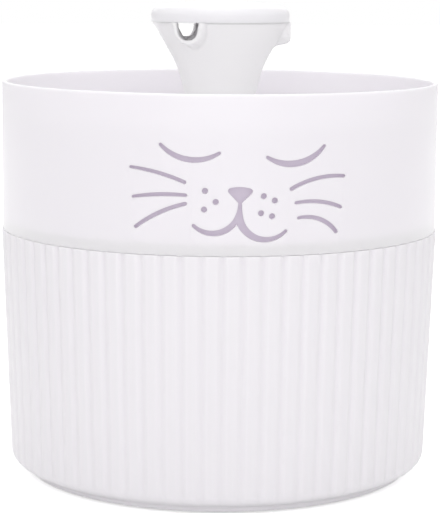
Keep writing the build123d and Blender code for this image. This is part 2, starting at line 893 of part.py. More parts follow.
def impeller_shaft():
    front, back = shaft_span()
    return slab(round_at_motor(shaft_radius), front, back)


# The wheel's back face, and the far end of the sleeve that carries the magnet.
def rotor_span():
    return volute_back - wheel_clearance, well_back - well_wall - bushing_length - end_play


def impeller():
    disc_back, sleeve_back = rotor_span()
    disc_front = disc_back - impeller_disc
    vane_front = disc_front - vane_depth
    body = slab(round_at_motor(impeller_radius), disc_front, disc_back)
    body += slab(round_at_motor(impeller_hub), vane_front + hub_set_back, disc_front)
    body += slab(round_at_motor(magnet_radius - magnet_wall), disc_back, sleeve_back)
    vane_root = impeller_hub - vane_width
    vane_length = impeller_radius - vane_root
    vane = Pos(vane_root + vane_length / 2, 0) * Rectangle(vane_length, vane_width)
    for index in range(vane_count):
        turn = Rot(0, 0, index * 360 / vane_count)
        body += slab(Pos(0, motor_height) * (turn * vane), vane_front, disc_front)
    bore = round_at_motor(shaft_radius + running_gap)
    return body - slab(bore, vane_front - past, sleeve_back + past)


def rotor_magnet():
    disc_back, sleeve_back = rotor_span()
    ring = round_at_motor(magnet_radius) - round_at_motor(magnet_radius - magnet_wall + seat_gap)
    return slab(ring, disc_back + magnet_end_gap, sleeve_back - magnet_end_gap)


def stator_span():
    middle = (volute_back + pump_wall + pump_back - potting_depth) / 2
    return middle - stator_length / 2, middle + stator_length / 2


def stator_radii():
    inner = well_radius + well_wall + stator_gap
    outer = min(pump_height, pump_width) / 2 - pump_wall - stator_gap
    return inner, outer


def stator_core():
    inner, outer = stator_radii()
    core = Circle(outer) - Circle(outer - stator_ring)
    tooth_root = inner + shoe_depth / 2
    tooth_length = outer - stator_ring / 2 - tooth_root
    tooth = Pos(tooth_root + tooth_length / 2, 0) * Rectangle(tooth_length, tooth_width)
    shoes = Circle(inner + shoe_depth) - Circle(inner)
    half_gap = inner * sin(radians(180 / tooth_count - shoe_angle / 2))
    gap = Pos(inner, 0) * Rectangle(4 * shoe_depth, 2 * half_gap)
    for index in range(tooth_count):
        turn = index * 360 / tooth_count
        core += Rot(0, 0, turn) * tooth
        shoes -= Rot(0, 0, turn + 180 / tooth_count) * gap
    front, back = stator_span()
    return slab(Pos(0, motor_height) * (core + shoes), front, back)


def stator_coils():
    inner, outer = stator_radii()
    front, back = stator_span()
    half_width = tooth_width / 2 + coil_wall
    low = inner + shoe_depth + seat_gap
    high = sqrt((outer - stator_ring) ** 2 - half_width**2) - seat_gap
    middle = Pos((low + high) / 2, 0)
    wide = middle * Rectangle(high - low, 2 * half_width)
    tight = middle * Rectangle(high - low, tooth_width + 2 * seat_gap)
    coils = []
    for index in range(tooth_count):
        turn = Rot(0, 0, index * 360 / tooth_count)
        coil = slab(Pos(0, motor_height) * (turn * wide), front - coil_wall, back + coil_wall)
        coil -= slab(Pos(0, motor_height) * (turn * tight), front - seat_gap, back + seat_gap)
        coils.append(coil)
    return coils


def potting_cap():
    return slab(pump_outline(pump_wall + seat_gap), pump_back - potting_depth, pump_back)


def pump_gland():
    ring = round_at_motor(gland_radius) - round_at_motor(cable_radius)
    return slab(ring, pump_back, pump_back + gland_length)


# ---- write every piece ----

pieces = {
    "outer_base": outer_base,
    "face_band": face_band,
    "rubber_feet": rubber_feet,
    "cable_grommet": cable_grommet,
    "inner_tank": inner_tank,
    "drinking_dish": drinking_dish,
    "tower_collar": tower_collar,
    "spout_tower": spout_tower,
    "riser_seal": riser_seal,
    "tower_cap": tower_cap,
    "riser_tube": riser_tube,
    "riser_sleeve": riser_sleeve,
    "filter_box": filter_box,
    "suction_cups": suction_cups,
    "filter_lid": filter_lid,
    "filter_tray": filter_tray,
    "carbon_pack": carbon_pack,
    "filter_pad": filter_pad,
    "pump_body": pump_body,
    "volute_cover": volute_cover,
    "intake_grille": intake_grille,
    "pump_sponge": pump_sponge,
    "impeller": impeller,
    "rotor_magnet": rotor_magnet,
    "impeller_shaft": impeller_shaft,
    "shaft_bushings": shaft_bushings,
    "stator_core": stator_core,
    "stator_coils": stator_coils,
    "potting_cap": potting_cap,
    "pump_gland": pump_gland,
}

for name, make in pieces.items():
    made = make()
    solids = made if isinstance(made, list) else [made]
    whole = Compound(children=[solid for piece in solids for solid in piece.solids()])
    export_step(whole, f"parts/{name}.step")
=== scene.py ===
import bpy
import bmesh
from math import atan2, cos, hypot, pi, radians, sin, tan
from mathutils import Matrix, Vector


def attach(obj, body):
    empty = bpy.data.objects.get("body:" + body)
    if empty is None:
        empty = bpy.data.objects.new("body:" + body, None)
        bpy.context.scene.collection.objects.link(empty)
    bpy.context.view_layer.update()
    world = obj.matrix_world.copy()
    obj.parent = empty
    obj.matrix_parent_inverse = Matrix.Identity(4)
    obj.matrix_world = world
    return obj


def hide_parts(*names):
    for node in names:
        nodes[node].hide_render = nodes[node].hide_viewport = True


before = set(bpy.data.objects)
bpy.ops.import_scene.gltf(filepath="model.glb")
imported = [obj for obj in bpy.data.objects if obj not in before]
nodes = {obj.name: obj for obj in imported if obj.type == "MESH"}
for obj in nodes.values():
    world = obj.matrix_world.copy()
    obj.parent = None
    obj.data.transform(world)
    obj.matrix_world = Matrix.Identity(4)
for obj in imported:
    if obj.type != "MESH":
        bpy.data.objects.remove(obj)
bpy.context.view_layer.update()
mm = 0.001
print("model loaded,", len(nodes), "pieces")


cameraSetup = {
    "place": (-67.76, -804.95, 210.26),   # mm
    "turn": 4.85,                         # degrees off the face's middle
    "tilt": 0.1493,                       # radians down
    "roll": 0.0074,                       # radians
    "lens": 136.25, "sensor": 36,         # mm
    "sees": (0.05, 20),                   # from and to, m
}


def makeCamera(setup):
    turn, tilt, roll = radians(setup["turn"]), setup["tilt"], setup["roll"]
    ahead = Vector((sin(turn) * cos(tilt), cos(turn) * cos(tilt), -sin(tilt)))
    right = Vector((cos(turn), -sin(turn), 0))
    up = right.cross(ahead)
    sideways = right * cos(roll) + up * sin(roll)
    upwards = up * cos(roll) - right * sin(roll)
    data = bpy.data.cameras.new("studioCamera")
    data.lens, data.sensor_width = setup["lens"], setup["sensor"]
    data.clip_start, data.clip_end = setup["sees"]
    camera = bpy.data.objects.new("studioCamera", data)
    bpy.context.scene.collection.objects.link(camera)
    turned = Matrix((sideways, upwards, -ahead)).transposed().to_4x4()
    camera.matrix_world = Matrix.Translation(Vector(setup["place"]) * mm) @ turned
    bpy.context.scene.camera = camera


makeCamera(cameraSetup)
bpy.context.scene.view_settings.view_transform = "Standard"
print("camera set")

fullRounding = 1.5   # mm; a corner that is rounded by less gets fewer segments


def roundCorner(bm, vert, rounding, segments):
    bmesh.ops.bevel(bm, geom=[vert], offset=rounding, offset_type="OFFSET", affect="VERTICES",
                    segments=segments, profile=0.5, material=-1)


# An outline of (radius, height, rounding) corners in mm, ready to be spun
def drawOutline(bm, corners, segments=5):
    verts = [bm.verts.new((radius * mm, 0, height * mm)) for radius, height, rounding in corners]
    for index, vert in enumerate(verts):
        bm.edges.new((verts[index - 1], vert))
    for vert, (radius, height, rounding) in zip(verts, corners):
        if rounding:
            steps = max(2, round(segments * min(1, rounding / fullRounding)))
            roundCorner(bm, vert, rounding * mm, steps)


def spinOutline(bm, steps):
    bmesh.ops.spin(bm, geom=bm.verts[:] + bm.edges[:], cent=(0, 0, 0), axis=(0, 0, 1), steps=steps,
                   angle=2 * pi, use_merge=True)
    closeUp(bm)


def closeUp(bm):
    bmesh.ops.remove_doubles(bm, verts=bm.verts, dist=0.000002)
    bmesh.ops.dissolve_degenerate(bm, edges=bm.edges, dist=0.000001)
    bmesh.ops.recalc_face_normals(bm, faces=bm.faces)


# The points of an upright outline, once its ((x, z), rounding) corners are rounded
def roundedPoints(corners, segments):
    bm = bmesh.new()
    verts = [bm.verts.new((x, 0, z)) for (x, z), rounding in corners]
    bm.faces.new(verts)
    for vert, (spot, rounding) in zip(verts, corners):
        if rounding:
            roundCorner(bm, vert, rounding, segments)
    face = max(bm.faces, key=lambda each: each.calc_area())
    points = [(vert.co.x, vert.co.z) for vert in face.verts]
    bm.free()
    return points


# A closed block: the outline stands upright and runs along Y, or lies flat and runs up Z
def raiseBlock(bm, points, start, end, flat=False):
    verts = []
    for x, v in points:
        spot = (x, v, start) if flat else (x, start, v)
        verts.append(bm.verts.new([each * mm for each in spot]))
    new = bmesh.ops.extrude_face_region(bm, geom=[bm.faces.new(verts)])["geom"]
    moved = [item for item in new if isinstance(item, bmesh.types.BMVert)]
    run = (end - start) * mm
    bmesh.ops.translate(bm, verts=moved, vec=(0, 0, run) if flat else (0, run, 0))
    return verts + moved


# Copies of the block or piece in a ring about the axis, the first one at start degrees
def turnedAround(bm, verts, count, start):
    bmesh.ops.rotate(bm, verts=verts, cent=(0, 0, 0), matrix=Matrix.Rotation(radians(start), 3, "Z"))
    faces = list(dict.fromkeys(face for vert in verts for face in vert.link_faces))   # each one once
    edges = list(dict.fromkeys(edge for face in faces for edge in face.edges))
    bmesh.ops.spin(bm, geom=verts + faces + edges, cent=(0, 0, 0), axis=(0, 0, 1), steps=count - 1,
                   angle=2 * pi * (count - 1) / count, use_duplicate=True)


def toObject(bm, name, sharp=30):
    bmesh.ops.recalc_face_normals(bm, faces=bm.faces)
    mesh = bpy.data.meshes.new(name)
    bm.to_mesh(mesh)
    bm.free()
    mesh.shade_smooth()
    mesh.set_sharp_from_angle(angle=radians(sharp))
    piece = bpy.data.objects.new(name, mesh)
    bpy.context.scene.collection.objects.link(piece)
    return piece


def spun(name, corners, steps=192, segments=5, sharp=35):
    bm = bmesh.new()
    drawOutline(bm, corners, segments)
    spinOutline(bm, steps)
    return toObject(bm, name, sharp)


# The same, but lying along Y at a height, with the outline's heights read as places along Y
def spunAlongY(name, corners, height, steps=64):
    bm = bmesh.new()
    drawOutline(bm, corners)
    spinOutline(bm, steps)
    bmesh.ops.rotate(bm, verts=bm.verts, cent=(0, 0, 0), matrix=Matrix.Rotation(-pi / 2, 3, "X"))
    bmesh.ops.translate(bm, verts=bm.verts, vec=(0, 0, height * mm))
    return toObject(bm, name)


# Copies of a spun piece, set in a ring about the axis as one mesh
def spunRing(name, corners, circle, count, start, steps=56):
    bm = bmesh.new()
    drawOutline(bm, corners)
    spinOutline(bm, steps)
    bmesh.ops.translate(bm, verts=bm.verts, vec=(circle * mm, 0, 0))
    turnedAround(bm, bm.verts[:], count, start)
    return toObject(bm, name)


def drum(radius, low, high, spot, steps=64):
    bm = bmesh.new()
    bmesh.ops.create_cone(bm, cap_ends=True, segments=steps, radius1=radius * mm, radius2=radius * mm,
                          depth=(high - low) * mm)
    bmesh.ops.translate(bm, verts=bm.verts, vec=(spot[0] * mm, spot[1] * mm, (low + high) / 2 * mm))
    return toObject(bm, "drumCutter")


# Radial slots through a floor, with round ends or square ones
def slotRing(inner, outer, width, low, high, count, start, roundEnds=True):
    half, corners = width / 2, 10 if roundEnds else 2
    turns = [-pi / 2 + pi * k / (corners - 1) for k in range(corners)]
    stretch = 1 if roundEnds else 0
    points = [(outer - half * stretch + half * cos(a) * stretch, half * sin(a)) for a in turns]
    points += [(inner + half * stretch - half * cos(a) * stretch, -half * sin(a)) for a in turns]
    bm = bmesh.new()
    turnedAround(bm, raiseBlock(bm, points, low, high, flat=True), count, start)
    return toObject(bm, "slotCutter")


# Cut by another closed mesh, which is then thrown away
def carve(piece, tool, sharp=35):
    step = piece.modifiers.new("carve", "BOOLEAN")
    step.operation, step.solver, step.object = "DIFFERENCE", "EXACT", tool
    step.use_self = True
    settled = piece.evaluated_get(bpy.context.evaluated_depsgraph_get())
    mesh = bpy.data.meshes.new_from_object(settled)
    piece.modifiers.remove(step)
    piece.data = mesh
    mesh.shade_smooth()
    mesh.set_sharp_from_angle(angle=radians(sharp))
    bpy.data.objects.remove(tool)


def finishPiece(piece, body, finish, slot, *stoodFor):
    piece.data.materials.clear()
    piece.data.materials.append(finishes[finish])
    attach(piece, body)
    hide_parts(*stoodFor)


def newGroup(name, inputs, outputs):
    group = bpy.data.node_groups.new(name, "ShaderNodeTree")
    for label, kind, value in inputs:
        socket = group.interface.new_socket(label, in_out="INPUT", socket_type=kind)
        socket.default_value = value
    for label, kind in outputs:
        group.interface.new_socket(label, in_out="OUTPUT", socket_type=kind)
    return group, group.nodes.new("NodeGroupInput"), group.nodes.new("NodeGroupOutput")


# Moulded plastic: slow drifts of tone and gloss, and a fine grain for the bump
def makeMouldedSkin():
    group, start, end = newGroup("mouldedSkin", [
        ("Tone", "NodeSocketColor", (0.9, 0.9, 0.9, 1)), ("Drift", "NodeSocketFloat", 0.02),
        ("Gloss", "NodeSocketFloat", 0.35), ("Gloss Drift", "NodeSocketFloat", 0.06),
        ("Grain Size", "NodeSocketFloat", 900.0), ("Flow Size", "NodeSocketFloat", 9.0),
    ], [("Color", "NodeSocketColor"), ("Roughness", "NodeSocketFloat"), ("Height", "NodeSocketFloat")])
    make, join = group.nodes.new, group.links.new
    place = make("ShaderNodeTexCoord")
    flow = make("ShaderNodeTexNoise")
    flow.inputs["Detail"].default_value = 3
    join(place.outputs["Object"], flow.inputs["Vector"])
    join(start.outputs["Flow Size"], flow.inputs["Scale"])
    grain = make("ShaderNodeTexNoise")
    grain.inputs["Detail"].default_value = 4
    grain.inputs["Roughness"].default_value = 0.6
    join(place.outputs["Object"], grain.inputs["Vector"])
    join(start.outputs["Grain Size"], grain.inputs["Scale"])
    centred = make("ShaderNodeMath")
    centred.operation = "SUBTRACT"
    join(flow.outputs["Fac"], centred.inputs[0])
    centred.inputs[1].default_value = 0.5
    drift = make("ShaderNodeMath")
    drift.operation = "MULTIPLY_ADD"
    join(centred.outputs[0], drift.inputs[0])
    join(start.outputs["Drift"], drift.inputs[1])
    drift.inputs[2].default_value = 1.0
    tone = make("ShaderNodeVectorMath")
    tone.operation = "SCALE"
    join(start.outputs["Tone"], tone.inputs[0])
    join(drift.outputs[0], tone.inputs["Scale"])
    join(tone.outputs[0], end.inputs["Color"])
    rough = make("ShaderNodeMath")
    rough.operation = "MULTIPLY_ADD"
    join(centred.outputs[0], rough.inputs[0])
    join(start.outputs["Gloss Drift"], rough.inputs[1])
    join(start.outputs["Gloss"], rough.inputs[2])
    join(rough.outputs[0], end.inputs["Roughness"])
    join(grain.outputs["Fac"], end.inputs["Height"])
    return group


mouldedSkin = makeMouldedSkin()


def newMaterial(name, roughness=0.4, ior=1.46, specular=0.5):
    material = bpy.data.materials.new(name)
    material.use_nodes = True
    shader = material.node_tree.nodes["Principled BSDF"]
    shader.inputs["Roughness"].default_value = roughness
    shader.inputs["IOR"].default_value = ior
    shader.inputs["Specular IOR Level"].default_value = specular
    return material, material.node_tree, shader


def bumpInto(tree, shader, height, distance, strength=1.0):
    bump = tree.nodes.new("ShaderNodeBump")
    bump.inputs["Strength"].default_value = strength
    bump.inputs["Distance"].default_value = distance
    tree.links.new(height, bump.inputs["Height"])
    tree.links.new(bump.outputs["Normal"], shader.inputs["Normal"])


# soak is how far light runs inside the plastic, in mm; glow is painted light, an emission that makes the
# piece shine by itself
def plasticFinish(name, tone, gloss, drift, grain, bump, specular=0.5, soak=0, glow=None):
    material, tree, shader = newMaterial(name, gloss, specular=specular)
    skin = tree.nodes.new("ShaderNodeGroup")
    skin.node_tree = mouldedSkin
    skin.inputs["Tone"].default_value = (*tone, 1)
    skin.inputs["Gloss"].default_value = gloss
    skin.inputs["Drift"].default_value = drift
    skin.inputs["Grain Size"].default_value = grain
    tree.links.new(skin.outputs["Color"], shader.inputs["Base Color"])
    tree.links.new(skin.outputs["Roughness"], shader.inputs["Roughness"])
    bumpInto(tree, shader, skin.outputs["Height"], bump)
    if soak:
        shader.inputs["Subsurface Weight"].default_value = 1.0
        shader.inputs["Subsurface Radius"].default_value = (1.0, 1.0, 1.0)
        shader.inputs["Subsurface Scale"].default_value = soak * mm
    # painted light: the piece glows though it is no lamp
    if glow:
        shader.inputs["Emission Color"].default_value = (*glow, 1)
        shader.inputs["Emission Strength"].default_value = 1.0
    return material


# Rows and cells: windings, stacked sheets, felt, foam and granules, from one texture each
def texturedFinish(name, kind, size, dark, light, gloss, bump, metal=0.0, along=(1, 1, 1)):
    material, tree, shader = newMaterial(name, gloss, specular=0.4)
    shader.inputs["Metallic"].default_value = metal
    place = tree.nodes.new("ShaderNodeTexCoord")
    stretch = tree.nodes.new("ShaderNodeMapping")
    stretch.inputs["Scale"].default_value = along
    tree.links.new(place.outputs["Object"], stretch.inputs["Vector"])
    pattern = tree.nodes.new("ShaderNodeTex" + kind)
    pattern.inputs["Scale"].default_value = size
    tree.links.new(stretch.outputs["Vector"], pattern.inputs["Vector"])
    height = pattern.outputs["Distance" if kind == "Voronoi" else "Fac"]
    blend = tree.nodes.new("ShaderNodeMix")
    blend.data_type = "RGBA"
    tree.links.new(height, blend.inputs["Factor"])
    blend.inputs["A"].default_value = (*dark, 1)
    blend.inputs["B"].default_value = (*light, 1)
    tree.links.new(blend.outputs["Result"], shader.inputs["Base Color"])
    bumpInto(tree, shader, height, bump)
    return material


plastics = {
    "shellWhite": dict(tone=(0.885, 0.865, 0.895), gloss=0.42, drift=0.015, grain=1400, bump=0.000006,
                       soak=0.8),
    "collarWhite": dict(tone=(0.885, 0.865, 0.895), gloss=0.34, drift=0.012, grain=1600, bump=0.000004,
                        soak=1.5),
    # the tower's white is a lighter tone than the cap's, though both are the one tower plastic: painted
    # light, against the shade that the bowl throws on the tower's flank
    "towerWhitePaintedLight": dict(tone=(0.925, 0.91, 0.94), gloss=0.30, drift=0.012, grain=1600, bump=0.000003,
                       soak=1.2),
    "capWhite": dict(tone=(0.89, 0.88, 0.905), gloss=0.34, drift=0.012, grain=1600, bump=0.000003,
                     soak=1.2),
    # The tank's glow is painted light: it lightens the tank behind the face's cut-outs, where the narrow
    # gap lies in shade; its tone is kept dark so that the glow does not over-lighten it
    "tankSmoke": dict(tone=(0.38, 0.345, 0.40), gloss=0.34, drift=0.03, grain=1200, bump=0.000005,
                      soak=3.0, glow=(0.28, 0.246, 0.296)),
    "dishWhite": dict(tone=(0.885, 0.88, 0.89), gloss=0.22, drift=0.012, grain=1500, bump=0.000003),
    "boxWhite": dict(tone=(0.74, 0.74, 0.77), gloss=0.40, drift=0.03, grain=1100, bump=0.000008),
    "padRubber": dict(tone=(0.30, 0.30, 0.32), gloss=0.75, drift=0.08, grain=2200, bump=0.00003,
                      specular=0.3),
    "milkySilicone": dict(tone=(0.72, 0.72, 0.74), gloss=0.5, drift=0.04, grain=1500, bump=0.00001,
                          specular=0.4, soak=1.5),
    "pumpBlack": dict(tone=(0.018, 0.018, 0.02), gloss=0.45, drift=0.2, grain=1700, bump=0.00003),
    "wheelGrey": dict(tone=(0.62, 0.63, 0.66), gloss=0.3, drift=0.03, grain=1500, bump=0.000005),
    "resinBlack": dict(tone=(0.012, 0.012, 0.012), gloss=0.12, drift=0.2, grain=120, bump=0.00008),
    "ferriteBlack": dict(tone=(0.035, 0.034, 0.036), gloss=0.55, drift=0.3, grain=2600, bump=0.00003),
}
patterned = {
    "groundSteel": dict(kind="Noise", size=3000, dark=(0.42, 0.42, 0.43), light=(0.62, 0.62, 0.63),
                        gloss=0.28, bump=0.000004, metal=1.0, along=(1, 0.05, 1)),
    "stackedSteel": dict(kind="Wave", size=330, dark=(0.16, 0.16, 0.17), light=(0.40, 0.40, 0.42),
                         gloss=0.4, bump=0.00003, metal=1.0, along=(0.001, 1, 0.001)),
    "copperTurns": dict(kind="Wave", size=420, dark=(0.34, 0.10, 0.04), light=(0.72, 0.32, 0.14),
                        gloss=0.3, bump=0.00006, metal=1.0, along=(1, 0.001, 1)),
    "openSponge": dict(kind="Voronoi", size=900, dark=(0.006, 0.006, 0.007), light=(0.05, 0.05, 0.055),
                       gloss=0.9, bump=0.0004),
    "carbonGrains": dict(kind="Voronoi", size=1100, dark=(0.030, 0.030, 0.032),
                         light=(0.006, 0.006, 0.007), gloss=0.5, bump=0.0005),
    "whiteFelt": dict(kind="Noise", size=1500, dark=(0.70, 0.71, 0.73), light=(0.92, 0.93, 0.94),
                      gloss=0.95, bump=0.0004),
}
finishes = {name: plasticFinish(name, **look) for name, look in plastics.items()}
finishes.update({name: texturedFinish(name, **look) for name, look in patterned.items()})
print("finishes made,", len(finishes))


# The outer shell with its ribs
shellPlan = {
    "crestTop": 90.5, "crestFoot": 87.1,         # radius of the ribs' crests
    "seam": 102.1, "wallFoot": 5.8, "bottom": 2.8, "floor": 5.6,
    "footRing": 80.3, "ringWidth": 4, "standing": 0.8,
    "axisHole": 0.5,                             # left open by the spin, closed afterwards
    "ribs": 72, "firstGroove": 1.05,             # degrees from the face's middle
    "grooveHalf": 1.95,                          # half width, mm
    "grooveTop": 1.12, "grooveFoot": 0.55,       # depth
    "grooveShape": 1.4,                          # 1 gives a plain cosine, more a broader crest
    "grooveSkin": 1.2, "underside": 5.5,         # how far in, and how high, still counts as outside
    "fadeStart": 0.3, "fadeRun": 4.5,            # under the shell the grooves run out to the foot ring
    "stepsPerRib": 12,
    "lapOutside": 88.95, "lapTop": 106.1, "inside": 88.0, "insideFoot": 84.59,
}


# Press the scoop between two ribs into the outside of one rib pitch
def pressScoop(bm, plan):
    tall = plan["seam"] - plan["wallFoot"]
    for vert in bm.verts:
        radius, height = hypot(vert.co.x, vert.co.y) / mm, vert.co.z / mm
        up = min(1, max(0, (height - plan["wallFoot"]) / tall))
        skin = plan["crestFoot"] + (plan["crestTop"] - plan["crestFoot"]) * up
        beneath = height < plan["underside"] and radius > plan["footRing"] + plan["fadeStart"]
        outside = radius > skin - plan["grooveSkin"] or beneath
        across = abs(atan2(vert.co.y, vert.co.x)) * radius / plan["grooveHalf"]
        if not outside or height > plan["seam"] + 0.1 or across >= 1:
            continue
        depth = plan["grooveFoot"] + (plan["grooveTop"] - plan["grooveFoot"]) * up
        fade = min(1, max(0, (radius - plan["footRing"] - plan["fadeStart"]) / plan["fadeRun"]))
        press = 1 - depth * fade * cos(across * pi / 2) ** plan["grooveShape"] / radius
        vert.co.x *= press
        vert.co.y *= press


def makeShell(plan):
    bm = bmesh.new()
    hole, ring, bottom, standing = plan["axisHole"], plan["footRing"], plan["bottom"], plan["standing"]
    ringInside = ring - plan["ringWidth"]
    drawOutline(bm, [
        (hole, bottom, 0), (ringInside, bottom, 0.4), (ringInside, standing, 0.5), (ring, standing, 0.8),
        (ring, bottom, 0.3), (plan["crestFoot"], plan["wallFoot"], 2.6),
        (plan["crestTop"], plan["seam"], 0.35), (plan["lapOutside"], plan["seam"], 0.15),
        (plan["lapOutside"], plan["lapTop"], 0.3), (plan["inside"], plan["lapTop"], 0.3),
        (plan["inside"], plan["seam"], 0), (plan["insideFoot"], plan["floor"], 3.0),
        (hole, plan["floor"], 0),
    ], segments=6)
    pitch = 2 * pi / plan["ribs"]
    bmesh.ops.rotate(bm, verts=bm.verts, cent=(0, 0, 0), matrix=Matrix.Rotation(-pitch / 2, 3, "Z"))
    bmesh.ops.spin(bm, geom=bm.verts[:] + bm.edges[:], cent=(0, 0, 0), axis=(0, 0, 1),
                   steps=plan["stepsPerRib"], angle=pitch, use_merge=False)
    pressScoop(bm, plan)
    start = radians(-90 + plan["firstGroove"])
    bmesh.ops.rotate(bm, verts=bm.verts, cent=(0, 0, 0), matrix=Matrix.Rotation(start, 3, "Z"))
    bmesh.ops.spin(bm, geom=bm.verts[:] + bm.edges[:] + bm.faces[:], cent=(0, 0, 0), axis=(0, 0, 1),
                   steps=plan["ribs"] - 1, angle=2 * pi - pitch, use_duplicate=True)
    closeUp(bm)
    bmesh.ops.holes_fill(bm, edges=[edge for edge in bm.edges if edge.is_boundary], sides=0)
    return toObject(bm, "ribbedShell", sharp=38)


ribbedShell = makeShell(shellPlan)
finishPiece(ribbedShell, "shell", "shellWhite", "shell_white", "outer_base")
print("ribbed shell made,", len(ribbedShell.data.polygons), "faces")


# The collar with the sleeping face
collarPlan = {
    "outside": 90.0, "wall": 2.0, "seam": 102.1, "seamGap": 0.05, "rim": 162.8,
    "lapInside": 89.05, "lapTop": 106.2,
    "steps": 720,
    "noseHeight": 125.2, "noseSteps": 6,
    "freckle": 1.15, "freckleSteps": 28,         # radius, and sides of the round
    "cutAhead": 3, "cutBehind": 20,              # how far the cutters reach out of and into the wall
}


# A brush stroke along an arc through three points, as wide as said at its start, middle and end
def strokePoints(start, middle, end, widths, steps=26, endSteps=8):
    a, b, c = Vector(start), Vector(middle), Vector(end)
    aa, bb, cc = a.length_squared, b.length_squared, c.length_squared
    d = 2 * (a.x * (b.y - c.y) + b.x * (c.y - a.y) + c.x * (a.y - b.y))
    if abs(d) < 1e-6:                            # nearly in a line
        d = 1e-6
    centre = Vector((
        (aa * (b.y - c.y) + bb * (c.y - a.y) + cc * (a.y - b.y)) / d,
        (aa * (c.x - b.x) + bb * (a.x - c.x) + cc * (b.x - a.x)) / d,
    ))
    reach = (a - centre).length
    first = atan2(a.y - centre.y, a.x - centre.x)
    sweep = (atan2(c.y - centre.y, c.x - centre.x) - first + pi) % (2 * pi) - pi
    upper, lower = [], []
    for index in range(steps + 1):
        t = index / steps
        along = Vector((cos(first + sweep * t), sin(first + sweep * t)))
        w0, w1, w2 = widths
        width = w0 * (1 - t) * (1 - 2 * t) + 4 * w1 * t * (1 - t) + w2 * t * (2 * t - 1)
        upper.append(centre + along * (reach + width / 2))
        lower.append(centre + along * (reach - width / 2))

    def roundEnd(outer, inner):
        middlePoint = (outer + inner) / 2
        arm = outer - middlePoint
        side = -1 if sweep > 0 else 1
        if outer is upper[0]:
            side = -side
        turns = [side * -pi * k / endSteps for k in range(1, endSteps)]
        return [middlePoint + Matrix.Rotation(turn, 2) @ arm for turn in turns]

    return upper + roundEnd(upper[-1], lower[-1]) + lower[::-1] + roundEnd(upper[0], lower[0])[::-1]


faceStrokes = [
    ((-29.2, 18.7), (-18.0, 13.2), (-7.6, 15.8), (1.3, 2.2, 1.3)),       # closed eyes
    ((10.5, 14.2), (21.4, 11.7), (32.4, 18.0), (1.3, 2.6, 1.3)),
    ((-40.0, 9.9), (-30.4, 8.2), (-20.4, 4.8), (1.2, 1.5, 1.5)),         # whiskers
    ((-39.1, -1.2), (-29.6, 0.0), (-20.0, -0.1), (1.2, 1.6, 1.4)),
    ((-38.2, -12.5), (-29.9, -7.0), (-20.1, -3.3), (1.4, 1.7, 1.5)),
    ((19.8, 2.2), (29.3, 5.8), (40.4, 6.3), (1.6, 1.6, 1.4)),
    ((21.6, -3.1), (30.2, -2.9), (39.3, -5.4), (1.3, 1.6, 1.4)),
    ((22.7, -8.8), (30.9, -9.6), (37.6, -14.7), (1.3, 1.7, 1.6)),
]
mouthStrokes = [
    ((0.3, -1.8), (0.2, -5.4), (-0.2, -9.0), (1.5, 1.9, 3.9)),
    ((-0.5, -8.2), (-8.5, -14.2), (-17.0, -11.4), (2.3, 2.3, 1.3)),
    ((-0.1, -8.4), (8.5, -16.6), (17.7, -13.6), (3.2, 2.4, 1.3)),
]
freckles = [(-12.8, 1.7), (-8.8, -2.4), (-13.1, -5.3), (9.2, -0.3), (13.4, -2.0), (8.2, -6.7),
            (12.4, -7.9)]
noseCorners = [((-5.4, 2.5), 2.4), ((0.2, 3.5), 2.2), ((6.4, 2.2), 2.7), ((0.3, -3.6), 0.9)]


def roundDot(plan, x, z):
    turns = [2 * pi * k / plan["freckleSteps"] for k in range(plan["freckleSteps"])]
    return [(x + plan["freckle"] * cos(turn), z + plan["freckle"] * sin(turn)) for turn in turns]


# Outlines measured from the nose, run through the front of the collar's wall
def faceCutter(plan, outlines):
    bm = bmesh.new()
    front = -plan["outside"]
    for points in outlines:
        raised = [(x, z + plan["noseHeight"]) for x, z in points]
        raiseBlock(bm, raised, front - plan["cutAhead"], front + plan["cutBehind"])
    return toObject(bm, "faceCutter")


def makeCollar(plan):
    inside, foot = plan["outside"] - plan["wall"], plan["seam"] + plan["seamGap"]
    collar = spun("faceCollar", [
        (plan["outside"], foot, 0.3), (plan["outside"], plan["rim"], 0.95),
        (inside, plan["rim"], 0.95), (inside, plan["lapTop"], 0.1),
        (plan["lapInside"], plan["lapTop"], 0), (plan["lapInside"], foot, 0.1),
    ], steps=plan["steps"], segments=8)
    strokes = [strokePoints(*stroke) for stroke in faceStrokes]
    dots = [roundDot(plan, x, z) for x, z in freckles]
    carve(collar, faceCutter(plan, strokes + dots))
    for stroke in mouthStrokes:                  # one by one, because they cross each other
        carve(collar, faceCutter(plan, [strokePoints(*stroke)]))
    carve(collar, faceCutter(plan, [roundedPoints(noseCorners, plan["noseSteps"])]))
    return collar


faceCollar = makeCollar(collarPlan)
finishPiece(faceCollar, "shell", "collarWhite", "shell_white", "face_band")
print("collar made,", len(faceCollar.data.polygons), "faces")


# The water tank, with a channel and a slot for the cable at its back
tankPlan = {
    "foot": 80.34, "footRing": 73.34, "ringWidth": 4, "bottom": 6.8, "floor": 8.8, "standing": 5.6,
    "shoulderFoot": 98.5, "shoulder": 83.57, "neck": 87.2, "neckFoot": 102.1, "rim": 148.3,
    "wall": 1.8, "steps": 288,
    "channel": 3.5, "channelTop": 135.4, "channelStart": 3.6,   # how far under the shoulder it starts
    "slot": 6.0, "slotSteps": 16, "slotFrom": 76, "slotTo": 92,
}


